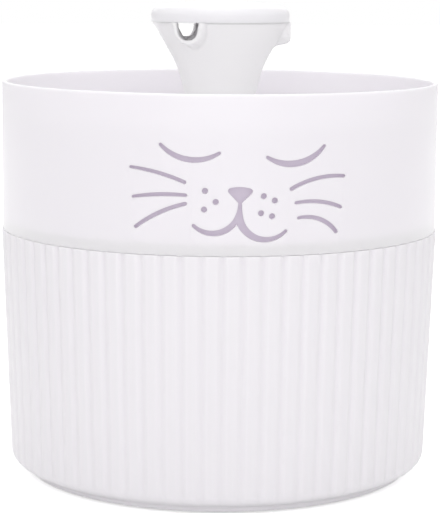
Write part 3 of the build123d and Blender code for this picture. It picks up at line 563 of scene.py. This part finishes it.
def makeTank(plan):
    wall, ring, rim, steps = plan["wall"], plan["footRing"], plan["rim"], plan["steps"]
    ringInside = ring - plan["ringWidth"]
    tank = spun("waterTank", [
        (0, plan["bottom"], 0), (ringInside, plan["bottom"], 0.3), (ringInside, plan["standing"], 0.4),
        (ring, plan["standing"], 0.4), (ring, plan["bottom"], 0.3), (plan["foot"], plan["bottom"], 6.0),
        (plan["shoulder"], plan["shoulderFoot"], 1.2), (plan["neck"], plan["neckFoot"], 1.2),
        (plan["neck"], rim, 0.5), (0, rim, 0),
    ], steps=steps, segments=8)
    inside = spun("tankInside", [
        (0, plan["floor"], 0), (plan["foot"] - wall, plan["floor"], 4.4),
        (plan["shoulder"] - wall, plan["shoulderFoot"], 1.2),
        (plan["neck"] - wall, plan["neckFoot"], 1.2), (plan["neck"] - wall, rim + 1, 0), (0, rim + 1, 0),
    ], steps=steps, segments=8)
    middle, low = (0, plan["neck"]), plan["shoulderFoot"] - plan["channelStart"]
    carve(inside, drum(plan["channel"] + wall, low, plan["channelTop"] + wall, middle))
    carve(tank, drum(plan["channel"], low, plan["channelTop"], middle))
    carve(tank, inside)
    half, bottom = plan["slot"] / 2, plan["channelTop"] - plan["slot"]
    turns = [-pi + pi * k / plan["slotSteps"] for k in range(plan["slotSteps"] + 1)]
    arc = [(half * cos(turn), bottom + half + half * sin(turn)) for turn in turns]
    bm = bmesh.new()
    raiseBlock(bm, arc + [(half, rim + 2), (-half, rim + 2)], plan["slotFrom"], plan["slotTo"])
    carve(tank, toObject(bm, "slotCutter"))
    return tank


waterTank = makeTank(tankPlan)
finishPiece(waterTank, "tank", "tankSmoke", "tank_plastic", "inner_tank")
print("tank made,", len(waterTank.data.polygons), "faces")


# The drinking dish, which hangs by its edge on the tank's rim
dishPlan = {
    "hubBore": 14.52, "hub": 16.72, "hubBottom": 132.3, "hubTop": 141.9,
    "floor": 138.3, "floorEdge": 140.5, "level": 33.0, "sideFoot": 81.96, "sideTop": 84.8,
    "edge": 87.2, "seat": 148.3, "top": 150.1, "wall": 1.8,
    "slots": 12, "slotInner": 21.0, "slotOuter": 30.0, "slotWidth": 3.0,
    "slotReach": 6,                              # how far the cutters stand out of the floor
}


def makeDish(plan):
    wall = plan["wall"]
    dish = spun("drinkingDish", [
        (plan["hubBore"], plan["hubBottom"], 0.4), (plan["hub"], plan["hubBottom"], 0.4),
        (plan["hub"], plan["floor"] - wall, 0.8), (plan["level"], plan["floor"] - wall, 4),
        (plan["sideFoot"], plan["floorEdge"] - wall, 6.0), (plan["sideTop"], plan["seat"], 0.4),
        (plan["edge"], plan["seat"], 0.2), (plan["edge"], plan["top"], 0.6),
        (plan["sideTop"] - wall, plan["top"], 0.7), (plan["sideFoot"] - wall, plan["floorEdge"], 4.4),
        (plan["level"], plan["floor"], 4), (plan["hub"], plan["floor"], 0.8),
        (plan["hub"], plan["hubTop"], 0.6), (plan["hubBore"], plan["hubTop"], 0.4),
    ], steps=240, segments=6)
    low, high = plan["floor"] - plan["slotReach"], plan["floor"] + plan["slotReach"]
    carve(dish, slotRing(plan["slotInner"], plan["slotOuter"], plan["slotWidth"], low, high,
                         plan["slots"], 180 / plan["slots"]))
    return dish


drinkingDish = makeDish(dishPlan)
finishPiece(drinkingDish, "dish", "dishWhite", "dish_plastic", "drinking_dish")
print("dish made,", len(drinkingDish.data.polygons), "faces")


# The tower with its three open spouts
towerPlan = {
    "rim": 187.0, "headRadius": 28.4, "wall": 1.9,
    "flank": [(14.9, 158.2), (16.4, 163.8), (18.4, 169.4), (21.4, 175.2), (24.8, 181.0), (28.4, 187.0)],
    "bowlFloor": 160.0, "bowlEase": 1.4, "bowlRow": 8,          # the flank's row where the bowl starts
    "stem": 12.0, "stemFoot": 89.2, "bore": 10.0, "seat": 143.5, "stop": 1.8, "stopHeight": 2,
    "throat": 5.8, "throatFoot": 149.0, "groove": 8.2, "grooveTop": 157.6, "taperTop": 12.9,
    "steps": 432,
    "spouts": 3, "spoutTurn": -2.25, "spoutReach": 28.8,        # degrees, mm from the axis
    "spoutHalf": 5.2, "spoutDepth": 7.0, "spoutLean": 10.0,     # half width at the rim, depth, degrees
    "spoutWall": 1.4, "spoutLip": 0.6, "spoutEase": 3.3, "spoutBlend": 2.0,
    "spoutStart": 7, "swellDepth": 14, "skin": 0.6,
}


# A smooth run through the points (Catmull-Rom), with each stretch cut into equal steps
def smoothRun(points, steps=6):
    ends = [points[0]] + points + [points[-1]]
    run = []
    for a, b, c, d in zip(ends, ends[1:], ends[2:], ends[3:]):
        for k in range(steps):
            t = k / steps
            run.append(tuple(0.5 * (2 * q + (r - p) * t + (2 * p - 5 * q + 4 * r - s) * t * t
                                    + (3 * q - p - 3 * r + s) * t ** 3) for p, q, r, s in zip(a, b, c, d)))
    return run + [points[-1]]


def radiusAt(run, height):
    for (r0, z0), (r1, z1) in zip(run, run[1:]):
        if z0 <= height <= z1:
            return r0 + (r1 - r0) * (height - z0) / (z1 - z0)
    return run[-1][0]


# How far a spot on the head belongs to a spout: 1 in its U, grown by margin, fading to 0 round it
def spoutShare(plan, angle, height, margin):
    lean = tan(radians(plan["spoutLean"]))
    depth = plan["rim"] - height
    ease = plan["spoutEase"] + margin
    half = plan["spoutHalf"] + margin - depth * lean
    best, reach = 0, plan["spoutReach"]
    for index in range(plan["spouts"]):
        turn = angle - radians(plan["spoutTurn"] + 360 * index / plan["spouts"])
        turn = (turn + pi) % (2 * pi) - pi
        if abs(turn) > pi / 4:                   # on another side of the head
            continue
        across = abs(plan["spoutReach"] * tan(turn)) - half + ease
        below = depth - plan["spoutDepth"] - margin + ease
        away = hypot(max(across, 0), max(below, 0)) + min(max(across, below), 0) - ease
        share = min(1, max(0, 1 - away / plan["spoutBlend"]))
        best, reach = share * share * (3 - 2 * share), plan["spoutReach"] / cos(turn)
    return best, reach


# The three channels, run out from the axis like spokes, each a U with its floor's corners rounded
def spoutChannels(plan):
    lean, rim, half = tan(radians(plan["spoutLean"])), plan["rim"], plan["spoutHalf"]
    foot, mouth, deep = half - plan["spoutDepth"] * lean, half + 2 * lean, -plan["spoutDepth"]
    ease = min(plan["spoutEase"], foot * 0.96)   # just short of a full round
    points = roundedPoints([((-mouth, 2), 0), ((-foot, deep), ease), ((foot, deep), ease), ((mouth, 2), 0)],
                           segments=10)
    bm = bmesh.new()
    verts = raiseBlock(bm, [(x, z + rim) for x, z in points], plan["spoutStart"], plan["spoutReach"] + 2)
    turnedAround(bm, verts, plan["spouts"], plan["spoutTurn"] - 90)
    return toObject(bm, "spoutCutter")


def makeTower(plan):
    stem, bore, wall, seat = plan["stem"], plan["bore"], plan["wall"], plan["seat"]
    stop, stopTop = stem + plan["stop"], seat + plan["stopHeight"]
    throat, throatFoot, groove = plan["throat"], plan["throatFoot"], plan["groove"]
    flank = smoothRun(plan["flank"])
    rim, head = plan["rim"], plan["headRadius"]
    bm = bmesh.new()
    drawOutline(bm, [
        (bore, plan["stemFoot"], 0.4), (stem, plan["stemFoot"], 0.6), (stem, seat, 0.1),
        (stop, seat, 0.3), (stop, stopTop, 0.6), (stem, stopTop, 0.3),
        *[(radius, height, 0) for radius, height in flank[:-1]],
        (head, rim, 0.05), (head - wall, rim, 0.35),
        *[(radius - wall, height, 0) for radius, height in reversed(flank[plan["bowlRow"]:-1])],
        (stem + plan["bowlEase"], plan["bowlFloor"], 1.5), (throat, plan["bowlFloor"], 0.4),
        (throat, throatFoot, 0.2), (groove, throatFoot, 0.2), (groove, plan["grooveTop"], 0.2),
        (plan["taperTop"], plan["grooveTop"], 0), (bore, stopTop, 1.0),
    ], segments=8)
    spinOutline(bm, plan["steps"])
    for vert in bm.verts:
        radius, height = hypot(vert.co.x, vert.co.y) / mm, vert.co.z / mm
        if height < rim - plan["swellDepth"]:
            continue
        outside = radius > radiusAt(flank, height) - plan["skin"]
        margin = plan["spoutWall"] if outside else plan["spoutLip"]
        share, reach = spoutShare(plan, atan2(vert.co.y, vert.co.x), height, margin)
        swell = 1 + share * ((reach if outside else reach - wall) / radius - 1)
        vert.co.x *= swell
        vert.co.y *= swell
    tower = toObject(bm, "trumpetTower", sharp=40)
    carve(tower, spoutChannels(plan), sharp=40)
    return tower


trumpetTower = makeTower(towerPlan)
# the tower's finish carries painted light, lightened against the shade inside the bowl
finishPiece(trumpetTower, "tower", "towerWhitePaintedLight", "tower_plastic", "spout_tower")
print("tower made,", len(trumpetTower.data.polygons), "faces")


# The cap, a low dome with a rounded shoulder
capPlan = {
    "radius": 28.6, "bottom": 187.03, "edge": 192.5, "top": 195.7, "wall": 1.8,
    "shoulder": 3.4, "shoulderLift": 0.4,
    "crownRows": (0.15, 0.3, 0.45, 0.6, 0.75), "crownInside": 0.93,   # parts of the radius
}


def makeCap(plan):
    radius, wall, edge, top = plan["radius"], plan["wall"], plan["edge"], plan["top"]
    crown = top - edge
    outer = [(radius * k, edge + crown * (1 - k * k)) for k in plan["crownRows"]]
    return spun("domedCap", [
        (0, top, 0), *[(r, z, 1.5) for r, z in outer],
        (radius, edge + plan["shoulderLift"], plan["shoulder"]),
        (radius, plan["bottom"], 0.06), (radius - wall, plan["bottom"], 0.2),
        (radius - wall, edge - wall, 2.0),
        *[(r * plan["crownInside"], z - wall, 1.5) for r, z in reversed(outer)],
        (0, top - wall, 0),
    ], segments=10, sharp=40)


domedCap = makeCap(capPlan)
finishPiece(domedCap, "cap", "capWhite", "tower_plastic", "tower_cap")
print("cap made,", len(domedCap.data.polygons), "faces")


# Four rubber pads under the shell
padPlan = {"radius": 7.0, "circle": 66.0, "top": 3.6, "count": 4, "firstAngle": 45}


def makePads(plan):
    radius, top = plan["radius"], plan["top"]
    return spunRing("footPads", [(0, 0, 0), (radius, 0, 0.5), (radius, top, 0.1), (0, top, 0)],
                    plan["circle"], plan["count"], plan["firstAngle"])


footPads = makePads(padPlan)
finishPiece(footPads, "shell", "padRubber", "grey_rubber", "rubber_feet")


# The grommet that the cable would pass, held in the shell by its two flanges
grommetPlan = {
    "hole": 2.1, "flange": 6.55, "neck": 4.36, "height": 17.0,
    "inside": 83.88, "innerFace": 85.28, "outerFace": 87.99, "outside": 89.39,
}


def makeGrommet(plan):
    hole, flange, neck = plan["hole"], plan["flange"], plan["neck"]
    return spunAlongY("cableGrommet", [
        (hole, plan["inside"], 0.4), (flange, plan["inside"], 0.6), (flange, plan["innerFace"], 0.2),
        (neck, plan["innerFace"], 0), (neck, plan["outerFace"], 0), (flange, plan["outerFace"], 0.2),
        (flange, plan["outside"], 0.7), (hole, plan["outside"], 0.4),
    ], plan["height"])


grommet = makeGrommet(grommetPlan)
finishPiece(grommet, "shell", "padRubber", "grey_rubber", "cable_grommet")


# The silicone collar in the dish's hub, which the tower is pushed into
siliconePlan = {
    "hubBottom": 132.3, "hubTop": 141.9, "top": 143.5,
    "bore": 12.06, "outside": 14.46, "flange": 17.06,
}


def makeSilicone(plan):
    bore, outside, flange = plan["bore"], plan["outside"], plan["flange"]
    return spun("siliconeCollar", [
        (bore, plan["hubBottom"], 0.5), (outside, plan["hubBottom"], 0.7),
        (outside, plan["hubTop"], 0.1), (flange, plan["hubTop"], 0.3),
        (flange, plan["top"], 0.75), (bore, plan["top"], 0.3),
    ], steps=128)


siliconeCollar = makeSilicone(siliconePlan)
finishPiece(siliconeCollar, "collar", "milkySilicone", "clear_silicone", "tower_collar")


# The seal between the tower and the riser, with a lip that points inwards
sealPlan = {"middle": 154.5, "half": 1.18, "outside": 7.38, "lip": 5.8, "tip": 5.56}


def makeSeal(plan):
    low, high = plan["middle"] - plan["half"], plan["middle"] + plan["half"]
    return spun("riserLip", [
        (plan["outside"], low, 0.2), (plan["outside"], high, 0.2), (plan["lip"], high, 0.2),
        (plan["tip"], plan["middle"], 0.15), (plan["lip"], low, 0.2),
    ], steps=96)


riserLip = makeSeal(sealPlan)
finishPiece(riserLip, "tower", "milkySilicone", "clear_silicone", "riser_seal")


# The sleeve that joins the riser to the pump, thicker at both ends
sleevePlan = {
    "bottom": 49.4, "joint": 56.4, "top": 63.4, "outside": 8.0, "spigot": 6.02, "riser": 5.52,
    "bead": 2, "beadEnd": 2.6, "beadDepth": 0.4,
}


def makeSleeve(plan):
    bottom, joint, top = plan["bottom"], plan["joint"], plan["top"]
    spigot, riser, bead, beadEnd = plan["spigot"], plan["riser"], plan["bead"], plan["beadEnd"]
    outside, waist = plan["outside"], plan["outside"] - plan["beadDepth"]
    return spun("riserSleeve", [
        (spigot, bottom, 0.3), (outside, bottom, 0.6), (outside, bottom + bead, 0.3),
        (waist, bottom + beadEnd, 0.3), (waist, top - beadEnd, 0.3), (outside, top - bead, 0.3),
        (outside, top, 0.6), (riser, top, 0.3), (riser, joint, 0), (spigot, joint, 0),
    ], steps=96)


riserSleeve = makeSleeve(sleevePlan)
finishPiece(riserSleeve, "pump", "milkySilicone", "clear_silicone", "riser_sleeve")


# Four suction cups, buttoned into the floor of the filter box
cupPlan = {
    "floor": 8.8, "hollow": 10.7, "hollowEdge": 0.55, "hollowDrop": 0.5,
    "radius": 7.5, "lip": 0.7, "shoulder": 3.6, "slopeOut": 1.2, "slopeDown": 2.2,
    "box": 13.8, "boxFloor": 15.8, "neck": 2.4, "head": 3.4, "button": 17.6,
    "circle": 29.5, "count": 4, "firstAngle": 45,
}


def makeCups(plan):
    radius, floor, shoulder, box = plan["radius"], plan["floor"], plan["shoulder"], plan["box"]
    return spunRing("suctionCups", [
        (0, plan["hollow"], 0), (radius * plan["hollowEdge"], plan["hollow"] - plan["hollowDrop"], 2.0),
        (radius, floor, 0.2), (radius, floor + plan["lip"], 0.2),
        (shoulder + plan["slopeOut"], box - plan["slopeDown"], 1.6), (shoulder, box, 0.3),
        (plan["neck"], box, 0), (plan["neck"], plan["boxFloor"], 0), (plan["head"], plan["boxFloor"], 0.3),
        (plan["neck"], plan["button"], 0.9), (0, plan["button"], 0),
    ], plan["circle"], plan["count"], plan["firstAngle"])


suctionCups = makeCups(cupPlan)
finishPiece(suctionCups, "pump", "milkySilicone", "clear_silicone", "suction_cups")


# The gland in the resin at the back of the pump
glandPlan = {"hole": 2.1, "outside": 3.2, "start": 30.51, "end": 33.5, "height": 31.8}


def makeGland(plan):
    hole, outside, start, end = plan["hole"], plan["outside"], plan["start"], plan["end"]
    return spunAlongY("pumpGland", [(hole, start, 0.1), (outside, start, 0.1), (outside, end, 0.8),
                                    (hole, end, 0.3)], plan["height"])


gland = makeGland(glandPlan)
finishPiece(gland, "pump", "padRubber", "grey_rubber", "pump_gland")
print("rubber and silicone made")


# The slotted lid of the filter box
lidPlan = {
    "hole": 8.6, "skirtInside": 34.0, "skirt": 35.4, "edge": 38.0, "rim": 62.0, "skirtFoot": 59.0,
    "top": 64.2, "slots": 20, "slotInner": 11.6, "slotOuter": 31.0, "slotWidth": 2.4, "slotReach": 2,
}


def makeLid(plan):
    hole, rim, top, foot = plan["hole"], plan["rim"], plan["top"], plan["skirtFoot"]
    lid = spun("filterLid", [
        (hole, rim, 0.3), (plan["skirtInside"], rim, 0.5), (plan["skirtInside"], foot, 0.3),
        (plan["skirt"], foot, 0.3), (plan["skirt"], rim, 0.1), (plan["edge"], rim, 0.2),
        (plan["edge"], top, 0.9), (hole, top, 0.6),
    ], steps=160)
    low, high = rim - plan["slotReach"], top + plan["slotReach"]
    carve(lid, slotRing(plan["slotInner"], plan["slotOuter"], plan["slotWidth"], low, high,
                        plan["slots"], 180 / plan["slots"], roundEnds=False))
    return lid


filterLid = makeLid(lidPlan)
finishPiece(filterLid, "filter", "boxWhite", "box_plastic", "filter_lid")


# The layers under the lid
layerPlan = {
    "inner": 9.95, "outer": 32.62, "steps": 216,
    "rows": 14, "rowInset": 1,                   # rings of a face, and how far they keep from its edges
    "edge": 0.4, "edgeDrop": 0.5, "edgeEase": 0.1, "edgeKept": 0.2,
    "puffSeam": 0.5, "puffAcross": 0.4,          # below 1 the swelling is fuller than a sine
}


# A ring-shaped pad: its faces swell between quilted seams, and stay inside the layer's own depth
def makeLayer(plan, name, low, high, seams, swell):
    inner, outer, rows, inset = plan["inner"], plan["outer"], plan["rows"], plan["rowInset"]
    edge, drop, ease = plan["edge"], plan["edgeDrop"], plan["edgeEase"]
    bm = bmesh.new()
    radii = [inner + inset + (outer - inner - 2 * inset) * k / rows for k in range(rows + 1)]
    drawOutline(bm, [
        (inner, low + drop, 0), (inner + edge, low + ease, 0), *[(r, low, 0) for r in radii],
        (outer - edge, low + ease, 0), (outer, low + drop, 0), (outer, high - drop, 0),
        (outer - edge, high - ease, 0), *[(r, high, 0) for r in reversed(radii)],
        (inner + edge, high - ease, 0), (inner, high - drop, 0),
    ])
    spinOutline(bm, plan["steps"])
    middle = (low + high) / 2
    for vert in bm.verts:
        radius = hypot(vert.co.x, vert.co.y) / mm
        turn = atan2(vert.co.y, vert.co.x)
        across = sin(pi * min(1, max(0, (radius - inner) / (outer - inner))))
        puff = abs(sin(seams * turn / 2)) ** plan["puffSeam"] * across ** plan["puffAcross"]
        if inner + plan["edgeKept"] < radius < outer - plan["edgeKept"]:
            vert.co.z = (middle + (vert.co.z / mm - middle) * (1 - swell * (1 - puff))) * mm
    return toObject(bm, name, sharp=60)


carbonPouch = makeLayer(layerPlan, "carbonPouch", low=50.72, high=55.68, seams=12, swell=0.28)
finishPiece(carbonPouch, "filter", "carbonGrains", "carbon", "carbon_pack")
feltLayer = makeLayer(layerPlan, "feltLayer", low=55.82, high=59.18, seams=2, swell=0.10)
finishPiece(feltLayer, "filter", "whiteFelt", "fleece", "filter_pad")


# The sponge before the pump's intake
spongePlan = {
    "width": 30.1, "height": 28.1, "middle": 31.8, "front": -11.08, "back": -7.12,
    "columns": 24, "rows": 22, "rimEdge": 0.7,
    "ripple": 0.03, "waves": ((1900, 700), (-500, 1600)),   # the foam's faces are never quite flat
}


def makeSponge(plan):
    bm = bmesh.new()
    bmesh.ops.create_grid(bm, x_segments=plan["columns"], y_segments=plan["rows"], size=0.5)
    depth = plan["back"] - plan["front"]
    bmesh.ops.scale(bm, verts=bm.verts, vec=(plan["width"] * mm, plan["height"] * mm, 1))
    bmesh.ops.rotate(bm, verts=bm.verts, cent=(0, 0, 0), matrix=Matrix.Rotation(pi / 2, 3, "X"))
    new = bmesh.ops.extrude_face_region(bm, geom=bm.faces[:])["geom"]
    moved = [item for item in new if isinstance(item, bmesh.types.BMVert)]
    bmesh.ops.translate(bm, verts=moved, vec=(0, depth * mm, 0))
    bmesh.ops.translate(bm, verts=bm.verts, vec=(0, plan["front"] * mm, plan["middle"] * mm))
    bmesh.ops.recalc_face_normals(bm, faces=bm.faces)
    rims = [edge for edge in bm.edges if len(edge.link_faces) == 2 and edge.calc_face_angle() > 1]
    bmesh.ops.bevel(bm, geom=rims, offset=plan["rimEdge"] * mm, affect="EDGES", segments=3, profile=0.5,
                    material=-1)
    (a, b), (c, d) = plan["waves"]
    for vert in bm.verts:
        wave = sin(vert.co.x * a + vert.co.z * b) * sin(vert.co.z * d + vert.co.x * c)
        vert.co.y -= (vert.co.y / mm - plan["front"] - depth / 2) * mm * plan["ripple"] * (1 + wave)
    return toObject(bm, "intakeSponge", sharp=70)


intakeSponge = makeSponge(spongePlan)
finishPiece(intakeSponge, "pump", "openSponge", "sponge", "pump_sponge")
print("filter layers made")


# Finishes for the hard pieces that keep their own mesh
kept = {
    "riser_tube": "dishWhite", "filter_box": "boxWhite", "filter_tray": "boxWhite",
    "pump_body": "pumpBlack", "volute_cover": "pumpBlack", "intake_grille": "pumpBlack",
    "impeller": "wheelGrey", "rotor_magnet": "ferriteBlack", "impeller_shaft": "groundSteel",
    "shaft_bushings": "milkySilicone", "stator_core": "stackedSteel", "stator_coils": "copperTurns",
    "potting_cap": "resinBlack",
}
for name, finish in kept.items():
    slots = nodes[name].data.materials
    slots.clear()
    slots.append(finishes[finish])
print("kept pieces dressed")


# The studio: a glowing floor that still takes the shadow, a white backdrop and soft lamps
studioPlan = {
    "floorTone": (0.86, 0.86, 0.86), "floorSize": 6, "floorGlow": 0.55,
    "sky": (1.0, 0.995, 1.0), "skyStrength": 0.72,
    "lamps": {                                   # place, aim and size in m, then watts
        "frontSoftbox": ((-0.14, -1.6, 1.0), (0, 0, 0.1), (1.4, 1.0), 4.6),
        "lowSoftbox": ((-0.14, -1.7, 0.25), (0, 0, 0.1), (1.6, 0.5), 2.2),
        "topSoftbox": ((0.0, 0.1, 2.6), (0, 0, 0.1), (1.9, 1.9), 18),
        "backSoftbox": ((0.1, 1.5, 0.9), (0, 0, 0.15), (1.4, 1.0), 4),
    },
}


# 1 for the two kinds of ray named, 0 for all others
def raysOf(tree, first, second):
    path = tree.nodes.new("ShaderNodeLightPath")
    seen = tree.nodes.new("ShaderNodeMath")
    seen.operation = "MAXIMUM"
    tree.links.new(path.outputs[first], seen.inputs[0])
    tree.links.new(path.outputs[second], seen.inputs[1])
    return seen.outputs[0]


def makeFloor(plan):
    bm = bmesh.new()
    bmesh.ops.create_grid(bm, x_segments=1, y_segments=1, size=plan["floorSize"])
    floor = toObject(bm, "studioFloor")
    material, tree, shader = newMaterial("studioFloor", 0.9, specular=0.0)
    shader.inputs["Base Color"].default_value = (*plan["floorTone"], 1)
    glow = tree.nodes.new("ShaderNodeEmission")
    glow.inputs["Strength"].default_value = plan["floorGlow"]
    both = tree.nodes.new("ShaderNodeAddShader")
    pick = tree.nodes.new("ShaderNodeMixShader")
    tree.links.new(raysOf(tree, "Is Camera Ray", "Is Glossy Ray"), pick.inputs["Fac"])
    tree.links.new(shader.outputs["BSDF"], pick.inputs[1])
    tree.links.new(shader.outputs["BSDF"], both.inputs[0])
    tree.links.new(glow.outputs[0], both.inputs[1])
    tree.links.new(both.outputs[0], pick.inputs[2])
    tree.links.new(pick.outputs[0], tree.nodes["Material Output"].inputs["Surface"])
    floor.data.materials.append(material)


def makeWorld(plan):
    world = bpy.data.worlds.new("studioSky")
    bpy.context.scene.world = world
    world.use_nodes = True
    tree = world.node_tree
    sky = tree.nodes["Background"]
    sky.inputs["Color"].default_value = (*plan["sky"], 1)
    sky.inputs["Strength"].default_value = plan["skyStrength"]
    backdrop = tree.nodes.new("ShaderNodeBackground")
    backdrop.inputs["Color"].default_value = (1, 1, 1, 1)
    backdrop.inputs["Strength"].default_value = 1.0
    pick = tree.nodes.new("ShaderNodeMixShader")
    tree.links.new(raysOf(tree, "Is Camera Ray", "Is Transmission Ray"), pick.inputs["Fac"])
    tree.links.new(sky.outputs[0], pick.inputs[1])
    tree.links.new(backdrop.outputs[0], pick.inputs[2])
    tree.links.new(pick.outputs[0], tree.nodes["World Output"].inputs["Surface"])


def makeLamp(name, place, aim, size, watts):
    data = bpy.data.lights.new(name, "AREA")
    data.shape, data.energy = "RECTANGLE", watts
    data.size, data.size_y = size
    lamp = bpy.data.objects.new(name, data)
    lamp.location = place
    lamp.rotation_mode = "QUATERNION"
    lamp.rotation_quaternion = (Vector(aim) - Vector(place)).to_track_quat("-Z", "Y")
    bpy.context.scene.collection.objects.link(lamp)


makeFloor(studioPlan)
makeWorld(studioPlan)
for name, setup in studioPlan["lamps"].items():
    makeLamp(name, *setup)
print("studio lit")
